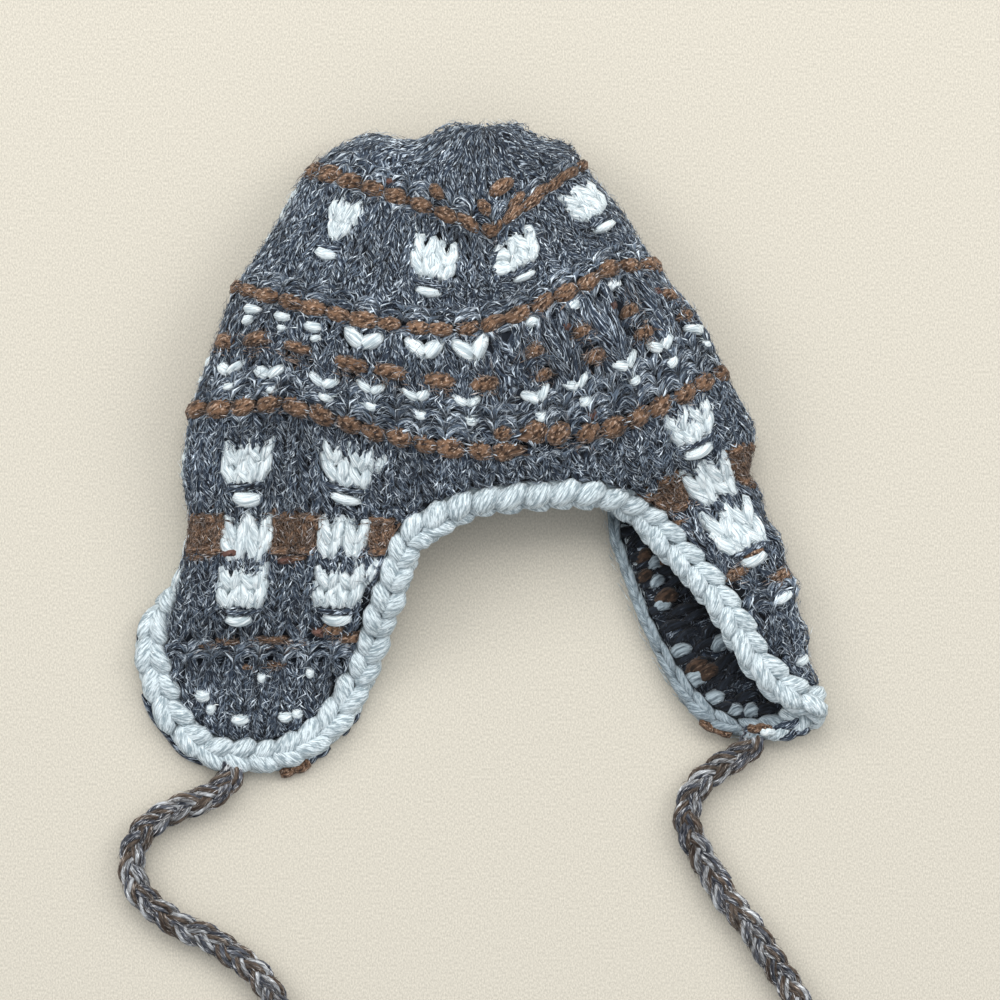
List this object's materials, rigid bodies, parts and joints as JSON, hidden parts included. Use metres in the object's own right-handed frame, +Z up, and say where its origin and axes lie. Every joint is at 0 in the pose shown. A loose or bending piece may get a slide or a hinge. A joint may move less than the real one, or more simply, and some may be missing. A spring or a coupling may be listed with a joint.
{
  "type": "earflap beanie",
  "caption": "Hand-knit earflap beanie in thick wool with a crocheted edge and braided ties, lying flat on its front.",
  "frame": {"origin": "on the surface the hat lies on, under the middle of the hat without its ties", "axes": "+Z up from the surface, +Y towards the crown, -Y towards the ear flaps and ties"},
  "size_m": [0.324, 0.5114, 0.056],
  "materials": {
    "heather_knit": "very thick heathered wool, slate blue with pale blue and brown pattern stitches",
    "ice_crochet": "pale icy blue-grey wool, crocheted",
    "braided_wool": "braid of brown, slate and pale strands"
  },
  "bodies": {
    "root": {"knit_body": "heather_knit", "edging": "ice_crochet", "tie_left": "braided_wool", "tie_right": "braided_wool", "tie_left_knot": "braided_wool", "tie_right_knot": "braided_wool"}
  },
  "joints": []
}
